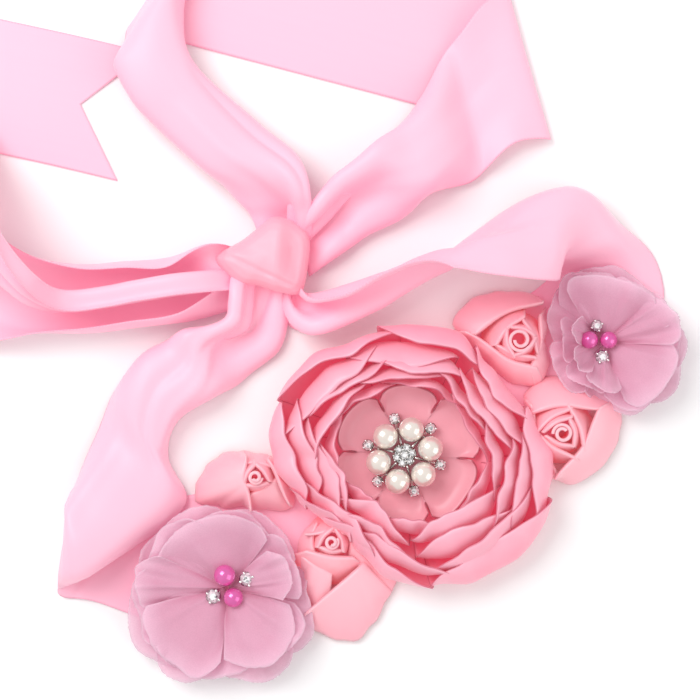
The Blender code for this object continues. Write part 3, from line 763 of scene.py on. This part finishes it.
# name, middle of the coil, its radius in px, lengths of ribbon in facets, blades and coil in metres,
# middle and reach of the outline, then the folds.
# A fold: direction, half span, distance of its folded edge in px, slant, bow of the edge (0 straight),
# height of the edge in mm, foot in px (0 for the outline), crown of its face in mm
ROSES = [
    ("rose_right_top", (517, 340), 11.5, (0.055, 0.057, 0.026), (517, 341),
     [(0, 26), (40, 38), (58, 48), (98, 49), (118, 54), (140, 62), (163, 67), (182, 50), (215, 36),
      (240, 37), (270, 43), (297, 48), (322, 40), (342, 30)], [
        (350, 60, 22, 0, 0.5, 11.5, 0, 0.8), (115, 58, 31, 0, 0.5, 12.5, 0, 0.6),
        (237, 66, 23, 8, 0.5, 12.0, 0, 0.8), (25, 62, 14, 0, 0.4, 14.5, 27, 0),
        (135, 58, 17, 0, 0.5, 15.0, 36, 0), (252, 62, 15, 0, 0.4, 14.5, 27, 0),
        (70, 56, 12, 0, 0.6, 16.0, 20, 0), (195, 60, 13, 0, 0.6, 16.2, 22, 0),
        (310, 60, 12, 0, 0.6, 16.0, 20, 0),
     ]),
    ("rose_right_low", (559, 432), 9.5, (0.063, 0.062, 0.022), (561, 434),
     [(0, 57), (16, 62), (30, 65), (45, 56), (70, 54), (106, 59), (130, 55), (152, 38), (180, 28),
      (225, 33), (262, 45), (283, 51), (305, 50), (330, 52)], [
        (200, 64, 25, 0, 0.5, 11.0, 0, 0.8), (90, 58, 28, 5, 0.5, 12.5, 0, 0.4),
        (328, 66, 26, 0, 0.45, 13.0, 0, 0.8), (20, 58, 19, 0, 0.4, 14.0, 34, 0),
        (125, 58, 19, 0, 0.5, 14.2, 33, 0), (236, 66, 17, 0, 0.4, 14.5, 30, 0),
        (10, 58, 12, 0, 0.5, 15.6, 24, 0), (118, 60, 13, 0, 0.5, 15.8, 24, 0),
        (250, 62, 11, 0, 0.5, 15.6, 22, 0),
     ]),
    ("rose_left_top", (257, 475), 6.5, (0.058, 0.020, 0.015), (255, 476),
     [(0, 30), (45, 25), (90, 22), (120, 28), (150, 40), (172, 50), (192, 60), (203, 64), (218, 46),
      (250, 31), (285, 34), (322, 48), (340, 42)], [
        (300, 58, 15, 0, 0.4, 11.0, 0, 0.6), (85, 52, 14, 0, 0.5, 12.0, 0, 0.4),
        (8, 48, 20, 22, 0.4, 12.5, 0, 0.5), (188, 74, 12, -4, 0.5, 14.0, 0, 0.8),
        (40, 60, 10, 0, 0.5, 14.5, 20, 0), (150, 60, 9, 0, 0.5, 15.0, 18, 0),
        (275, 60, 9, 0, 0.5, 14.5, 20, 0),
     ]),
    ("rose_left_low", (332, 539), 6.5, (0.073, 0.048, 0.015), (328, 547),
     [(0, 36), (50, 18), (90, 20), (140, 28), (195, 30), (225, 36), (246, 60), (262, 84), (278, 93),
      (287, 97), (300, 88), (318, 78), (334, 76), (348, 56)], [
        (10, 50, 20, 0, 0.7, 10.5, 0, 0.4), (90, 50, 12, 0, 0.7, 10.5, 0, 0.4),
        (178, 50, 20, 0, 0.7, 10.5, 0, 0.4), (288, 38, 39, 24, 0.1, 11.0, 0, 0.5),
        (238, 32, 30, 0, 0.3, 10.0, 0, 0.5), (262, 62, 16, 0, 0.3, 13.0, 44, 0.4),
        (90, 76, 11, 0, 0.5, 13.5, 26, 0), (20, 62, 10, 0, 0.5, 15.0, 20, 0),
        (140, 62, 10, 0, 0.5, 15.2, 20, 0), (262, 62, 9, 0, 0.5, 14.8, 18, 0),
     ]),
]
for name, centre, coil_reach, lengths, outline_centre, outline, folds in ROSES:
    def fold_spot(shape, side, out):
        """A fold from its foot, out = 0, up to its folded edge at out = 0.9 and just over it."""
        direction, half, edge, slant, bow, brim, foot, crown = shape
        turn = direction + half * side
        chord = 1 / max(math.cos(math.radians(half * side - slant)), 0.18) - 1
        near = round_about(centre, turn, edge * (1 + (1 - bow) * chord), brim)
        if foot:
            far = round_about(centre, turn, foot, 3.0)
        else:
            far = round_about(outline_centre, turn, reach_at(outline, turn), 1.8)
        rise = min(out / 0.9, 1.0)
        lip = max(0.0, out - 0.9) / 0.1
        spot = far.lerp(near, rise)
        spot.z = far.z + (near.z - far.z) * rise ** (0.8 if foot else 0.68)
        spot.z += (crown * math.sin(math.pi * rise) * (1 - 0.5 * side * side)
                   - 1.3 * abs(side) ** 4 * rise - 1.5 * lip * lip) * MM
        inward = seen(*centre) - spot
        inward.z = 0
        return spot + inward.normalized() * lip * 2.2 * PIXEL

    for part, length, material, chosen in [
            ("facets", lengths[0], facet_satin, [fold for fold in folds if not fold[6]]),
            ("blades", lengths[1], blade_satin, [fold for fold in folds if fold[6]])]:
        piece = petals_of(f"{name}_{part}", chosen, fold_spot, material, wall=0.0007, columns=30, rows=24)
        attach(piece, "root")
        if part == "facets":
            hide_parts(name + "_wrap")

    grid, flat = [], []
    coil_start = outline[0][1] * 7
    for index in range(COIL_STEPS + 1):
        turn = COIL_TURNS * index / COIL_STEPS
        far = coil_reach * (0.45 + 0.55 * turn / COIL_TURNS)
        direction = coil_start + turn * 360
        brim = 17.0 - 0.8 * (turn / COIL_TURNS) + 0.25 * math.sin(math.radians(direction) * 2)
        rises = [step / COIL_ROWS for step in range(COIL_ROWS + 1)]
        grid.append([round_about(centre, direction, far * (0.90 + 0.10 * rise),
                                 COIL_FOOT + (brim - COIL_FOOT) * rise) for rise in rises])
        flat.append([(0.02, (1 - rise) * COIL_WIDTH) for rise in rises])
    coil = cloth_from_grid(name + "_coil", grid, flat, 0.0012, blade_satin)
    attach(coil, "root")
    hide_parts(name + "_bud")


# Chiffon flowers: three discs of sheer chiffon each, slit into wide petals that puff up between deep
# creases. Their edges are cut raw and left to fray, and each flower is sewn down through its middle.
def sheer_chiffon(thread):
    """Sheer cloth: an open plain weave, paler and thinner at the raw edge, with painted shade in the
    creases and away from the brim.
    """
    side, brim = thread.cloth()
    inset = thread.sum("MINIMUM", side, brim)
    weave = thread.grain(thread.place(), 2600.0, 1.0)
    cloud = thread.grain(thread.place(), 120.0, 3.0)
    # Painted shade: darker along the creases at the petals' sides and further from the brim.
    crease_shade = ((0.0035 - side) * 260.0).held() * ((brim - 0.006) * 90.0).held()
    painted_shade = (crease_shade * 0.6 + (brim * 30.0 - 0.30).held() * 0.5 + cloud * 0.3 - 0.12).held()
    body = painted_shade.blend((0.80, 0.45, 0.59, 1), (0.66, 0.21, 0.34, 1))
    pale = (((0.008 - brim) * 140.0).held() * 0.6 + ((0.0009 - inset) * 1300.0).held() * 0.4).held()
    return {"Base Color": pale.blend(body, (0.92, 0.66, 0.79, 1)),
            "Alpha": (0.60 + (brim * 20.0).held() * 0.36 - weave * 0.12).held(),
            "Normal": thread.bump(0.3, 0.00015, weave + cloud)}


# The chiffon's pink emission is a painted glow.
chiffon = finish("sheer_chiffon", 0.72, sheer_chiffon, Sheen_Weight=0.4, Sheen_Roughness=0.5,
                 Emission_Color=(0.05, 0.012, 0.022, 1), Emission_Strength=1.0)
CHIFFON_FLOWERS = [
    # middle, reach; then for each disc: node, share of the reach, heights in mm of middle and
    # brim, width of its cut, and its petals: direction, half span, puff in mm, how far it lies out
    # in px, how much it stands up (0 to 1), wave
    ((228, 587),
     [(0, 84), (25, 84), (60, 82), (90, 82), (125, 90), (155, 92), (185, 98), (215, 104), (245, 100),
      (268, 90), (290, 98), (325, 95)], [
        ("left_chiffon_1", 1.0, 1.9, 8.5, 0.076, [
            (60, 40, 1.8, -2, 0, 0.2), (130, 40, 2.0, 0, 0, 1.1), (205, 42, 1.6, 0, 0, 2.0),
            (245, 26, 2.0, 0, 0, 0.7), (292, 30, 2.0, 0, 0, 1.6), (345, 34, 1.6, 0, 0, 2.4)]),
        ("left_chiffon_2", 0.93, 3.4, 12.5, 0.07, [
            (24, 34, 2.0, 0, 0.1, 1.3), (82, 36, 2.2, 0, 0, 0.4), (140, 32, 2.0, 0, 0, 2.1),
            (190, 28, 1.8, 0, 0, 0.9), (250, 38, 2.0, 0, 0, 1.7), (318, 34, 2.2, 0, 0.1, 0.1)]),
        ("left_chiffon_3", 0.84, 4.9, 15.5, 0.0645, [
            (102, 56, 2.6, 8, 0.12, 0.8), (172, 21, 2.0, 9, 0, 2.2), (228, 40, 3.2, 4, 0, 1.5),
            (308, 42, 3.4, 0, 0, 0.3), (18, 30, 2.6, 2, 0.25, 1.9)]),
     ]),
    ((603, 342),
     [(0, 78), (30, 74), (60, 68), (90, 76), (120, 80), (150, 66), (180, 58), (210, 62), (244, 60),
      (270, 64), (300, 80), (330, 82)], [
        ("right_chiffon_1", 1.0, 1.9, 8.5, 0.0615, [
            (15, 40, 1.8, 0, 0, 0.9), (85, 42, 1.8, 0, 0, 2.3), (150, 36, 1.8, 0, 0.1, 0.4),
            (215, 38, 2.0, 0, 0.1, 1.4), (280, 36, 2.0, 0, 0, 2.0), (330, 30, 2.0, 0, 0, 0.6)]),
        ("right_chiffon_2", 0.93, 3.4, 12.5, 0.056, [
            (50, 38, 2.0, 0, 0, 1.8), (112, 34, 2.2, 0, 0, 0.2), (178, 36, 2.0, 0, 0.45, 1.2),
            (240, 34, 1.8, 0, 0.3, 2.5), (302, 36, 2.0, 0, 0, 0.8), (355, 30, 2.0, 0, 0, 1.6)]),
        ("right_chiffon_3", 0.84, 4.9, 17.6, 0.053, [
            (84, 50, 2.4, 8, 0.15, 1.1), (22, 26, 2.2, 8, 0, 0.5), (160, 32, 2.0, 2, 0.8, 2.0),
            (215, 34, 2.2, 4, 0.75, 1.6), (262, 30, 2.4, 2, 0.35, 0.1), (322, 38, 3.2, 4, 0, 2.6)]),
     ]),
]
for centre, reach, discs in CHIFFON_FLOWERS:
    for name, share, foot, brim, cut, shapes in discs:
        def chiffon_spot(shape, side, out):
            """A soft petal: puffed in its middle, pinched to a crease at each side, loose at its rim."""
            direction, half, puff, further, stand, wave = shape
            turn = direction + half * side * (1.04 - 0.10 * out - 0.25 * stand * out)
            whole = reach_at(reach, turn) * share + further
            whole *= (1 - 0.10 * abs(side) ** 5 + 0.035 * math.sin(3.6 * side + wave * 4)
                      + 0.04 * noise.noise(Vector((side * 2.2 + wave * 6, foot, 2.0))))
            frayed = max(0.0, out - 0.93) / 0.07
            fray = noise.noise(Vector((side * 18 + wave * 9, wave * 5, foot))) * 0.9 * frayed
            radius = whole * (0.03 + 0.97 * out) * (1 - 0.42 * stand * out) + fray
            rumple = noise.noise(Vector((side * 2.0 + wave * 7, out * 1.4, foot * 3)))
            pleat = noise.noise(Vector((side * 3.6 + wave * 11, out * 0.8, foot))) * (0.5 + 1.8 * stand)
            off_fold = (side - 0.6 * math.sin(wave * 3)) / 0.13
            fold = math.exp(-off_fold ** 2) * math.sin(math.pi * min(1, out * 0.95))
            curl = max(0.0, out - 0.84) / 0.16
            height = foot + (brim - foot) * out ** (1.5 + 1.5 * stand)
            height += puff * (1 - 0.8 * stand) * math.sin(math.pi * out ** 0.8) * (1 - side * side)
            height -= 1.6 * abs(side) ** 3 * math.sin(math.pi * min(1, out * 0.9)) + 0.5 * side * out
            height += 2.8 * rumple * out + 1.7 * math.sin(4.2 * side + wave * 3) * out ** 2.5
            height += 0.9 * fold + 1.3 * curl * curl * math.sin(2.6 * side + wave * 5)
            height += 5.0 * stand * out ** 1.2 + pleat * out ** 1.4 * (1 - 0.3 * side * side)
            radius += pleat * stand * 0.8 * out
            return round_about(centre, turn, radius, max(height, foot - 0.6))

        disc = petals_of(name + "_petals", shapes, chiffon_spot, chiffon, wall=0.0003, columns=64, rows=26)
        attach(disc, "root")
        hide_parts(name)
        math.pi * cut * cut / 4


# Brooch: a plated setting with six ivory pearls in a ring, a small stone outside each gap between
# them and a flower of seven stones in the middle. Every stone sits in a cup with four claws.
def pearl_coat(thread):
    """Pearl coating: a soft cloud in the colour and an even gloss."""
    cloud = thread.grain(thread.place(), 260.0, 2.0)
    return {"Base Color": cloud.blend((0.93, 0.86, 0.79, 1), (0.86, 0.77, 0.70, 1)),
            "Roughness": cloud * 0.10 + 0.16}


def pink_coat(thread):
    """The same coating in pink."""
    cloud = thread.grain(thread.place(), 300.0, 2.0)
    return {"Base Color": cloud.blend((0.86, 0.17, 0.50, 1), (0.74, 0.09, 0.38, 1)),
            "Roughness": cloud * 0.10 + 0.16}


def plated(thread):
    """Bright plating with fine casting marks."""
    marks = thread.grain(thread.place(), 1400.0, 2.0)
    return {"Base Color": marks.blend((0.92, 0.91, 0.89, 1), (0.74, 0.72, 0.71, 1)),
            "Roughness": marks * 0.2 + 0.12,
            "Normal": thread.bump(0.3, 0.0001, marks)}


def foiled(thread):
    """A foil-backed stone with painted reflections: each facet is painted its own grey, from dark to
    white.
    """
    facet = thread.node("ShaderNodeTexVoronoi", None, {"Vector": thread.place(), "Scale": 1500.0}, 1)
    level = thread.node("ShaderNodeSeparateColor", None, {0: facet}, 0)
    painted_reflection = thread.node("ShaderNodeValToRGB", {"stops": [
        (0.0, (0.22, 0.21, 0.22)), (0.22, (0.62, 0.62, 0.64)),
        (0.42, (0.96, 0.97, 0.98)), (1.0, (1.0, 1.0, 1.0))]},
        {"Fac": level})
    return {"Base Color": painted_reflection}


PEARL_GLOSS = {"Metallic": 0.45, "Coat_Weight": 1.0, "Coat_Roughness": 0.05}
ivory_pearl = finish("ivory_pearl_coat", 0.2, pearl_coat, **PEARL_GLOSS)
pink_pearl = finish("pink_pearl_coat", 0.2, pink_coat, **PEARL_GLOSS)
silver = finish("silver_plate", 0.2, plated, Metallic=1.0)
crystal = finish("foiled_crystal", 0.08, foiled, Metallic=0.25, Coat_Weight=1.0, Coat_Roughness=0.02)


def joined(parts, name, material):
    """Several solids made one piece, its place in its mesh."""
    bpy.ops.object.select_all(action="DESELECT")
    for part in parts:
        part.select_set(True)
    bpy.context.view_layer.objects.active = parts[0]
    if len(parts) > 1:
        bpy.ops.object.join()
    piece = bpy.context.view_layer.objects.active
    bpy.ops.object.transform_apply(location=True, rotation=True, scale=True)
    piece.name = name
    piece.data.name = name
    piece.data.materials.clear()
    piece.data.materials.append(material)
    return piece


def above(spot, height):
    """The spot that is a height over another."""
    return spot + Vector((0, 0, height))


def cone(vertices, low, high, depth, spot, turn=0.0):
    """A tapered wall or stone, low and high its radii, its middle at a spot."""
    bpy.ops.object.select_all(action="DESELECT")
    bpy.ops.mesh.primitive_cone_add(vertices=vertices, radius1=low, radius2=high, depth=depth,
                                    location=spot, rotation=(0, 0, turn))
    return bpy.context.object


def pearl(name, spot, radius, material):
    """A round pearl."""
    bpy.ops.object.select_all(action="DESELECT")
    bpy.ops.mesh.primitive_uv_sphere_add(segments=48, ring_count=28, radius=radius, location=spot)
    bead = bpy.context.object
    bead.data.shade_smooth()
    return joined([bead], name, material)


def claw_cup(spot, radius, depth, turn):
    """A stone's cup: a short tapered wall and four claws bent over the stone's edge."""
    made = [cone(24, radius * 0.72, radius * 1.02, depth * 0.62, above(spot, depth * 0.31))]
    for index in range(4):
        angle = turn + math.pi / 2 * index
        way = Vector((math.cos(angle), math.sin(angle), 0))
        bpy.ops.mesh.primitive_cylinder_add(vertices=8, radius=radius * 0.19, depth=depth * 0.80,
                                            location=above(spot + way * radius * 0.98, depth * 0.45))
        made.append(bpy.context.object)
        bpy.ops.mesh.primitive_uv_sphere_add(segments=10, ring_count=6, radius=radius * 0.25,
                                             location=above(spot + way * radius * 0.90, depth * 0.86))
        made.append(bpy.context.object)
    for part in made:
        part.data.shade_smooth()
    return made


def cut_stone(spot, radius, depth, turn):
    """A faceted stone: a table and a crown of eight facets over a pavilion."""
    crown = cone(8, radius, radius * 0.52, depth * 0.40, above(spot, depth * 0.85), turn)
    pavilion = cone(8, radius * 0.5, radius, depth * 0.40, above(spot, depth * 0.45), turn)
    return [crown, pavilion]


BROOCH_CENTRE = (403.5, 453.5)
BROOCH_FOOT = 10.2 * MM
BROOCH_SEAT = 11.5 * MM
PEARL_RADIUS = 12.4 * PIXEL
PEARL_RING = 26.4 * PIXEL
STONE_RING = 37 * PIXEL
settings = []
for index in range(6):
    middle = seen(*BROOCH_CENTRE) + toward(75 + 60 * index) * PEARL_RING
    bead = pearl(f"ivory_pearl_{index + 1}", above(middle, BROOCH_SEAT + PEARL_RADIUS), PEARL_RADIUS,
                 ivory_pearl)
    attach(bead, "root")
    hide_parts(f"brooch_pearl_{index + 1}")
    settings.append(cone(32, PEARL_RADIUS * 0.62, PEARL_RADIUS * 0.80, 1.4 * MM,
                         above(middle, BROOCH_FOOT + 0.7 * MM)))
    angle = math.radians(105 + 60 * index)
    way = toward(105 + 60 * index)
    seat = above(seen(*BROOCH_CENTRE) + way * STONE_RING, BROOCH_SEAT - 0.6 * MM)
    settings += claw_cup(seat, 5.6 * PIXEL, 3.0 * MM, angle + math.pi / 4)
    bpy.ops.object.select_all(action="DESELECT")
    bpy.ops.mesh.primitive_cylinder_add(vertices=12, radius=1.5 * PIXEL, depth=26 * PIXEL,
                                        location=above(seen(*BROOCH_CENTRE) + way * 24 * PIXEL,
                                                       BROOCH_FOOT + 0.7 * MM),
                                        rotation=(math.pi / 2, 0, angle + math.pi / 2))
    settings.append(bpy.context.object)
    gem = joined(cut_stone(seat, 5.2 * PIXEL, 3.1 * MM, angle), f"small_stone_{index + 1}", crystal)
    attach(gem, "root")
    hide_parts(f"brooch_stone_{index + 1}")

middle_stones = []
for index in range(7):
    angle = math.radians(15 + 60 * index)
    way = toward(15 + 60 * index) * (8.0 * PIXEL if index < 6 else 0)
    rise = 1.6 * MM if index < 6 else 2.2 * MM
    foot = above(seen(*BROOCH_CENTRE) + way, BROOCH_SEAT + rise)
    settings += claw_cup(foot, 4.0 * PIXEL, 2.6 * MM, angle + math.pi / 4)
    middle_stones += cut_stone(foot, 3.7 * PIXEL, 2.8 * MM, angle)
settings.append(cone(32, 12 * PIXEL, 9.5 * PIXEL, 2.6 * MM,
                     above(seen(*BROOCH_CENTRE), BROOCH_FOOT + 1.7 * MM)))
bpy.ops.mesh.primitive_torus_add(major_radius=PEARL_RING, minor_radius=1.6 * PIXEL,
                                 major_segments=64, minor_segments=10,
                                 location=above(seen(*BROOCH_CENTRE), BROOCH_FOOT + 0.6 * MM))
settings.append(bpy.context.object)
setting = joined(settings, "brooch_plate", silver)
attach(setting, "root")
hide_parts("brooch_setting")
star = joined(middle_stones, "middle_stones", crystal)
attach(star, "root")
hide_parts("brooch_middle")


# Flower middles: on each chiffon flower two pink coated pearls and two foil-backed rhinestones in
# plated claw cups, sewn down through the discs.
CHIFFON_SEAT = 5.6 * MM
for name, x, y, radius in [("left_pearl_1", 226, 573, 10.8), ("left_pearl_2", 234.5, 595, 9.8),
                           ("right_pearl_1", 587, 340, 8.8), ("right_pearl_2", 606, 340, 8.6)]:
    bead = pearl(name + "_bead", above(seen(x, y), CHIFFON_SEAT + radius * PIXEL), radius * PIXEL,
                 pink_pearl)
    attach(bead, "root")
    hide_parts(name)
for name, x, y, radius in [("left_rhinestone_1", 247.5, 577, 8.2), ("left_rhinestone_2", 214.5, 594, 8.2),
                           ("right_rhinestone_1", 594.5, 326, 6.6), ("right_rhinestone_2", 600, 357, 7.6)]:
    foot = above(seen(x, y), CHIFFON_SEAT)
    turn = math.radians(x * 7)
    cup = joined(claw_cup(foot, radius * 0.90 * PIXEL, 4.6 * MM, turn), name + "_cup", silver)
    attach(cup, "root")
    gem = joined(cut_stone(foot, radius * 0.82 * PIXEL, 4.4 * MM, turn), name + "_stone", crystal)
    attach(gem, "root")
    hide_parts(name)
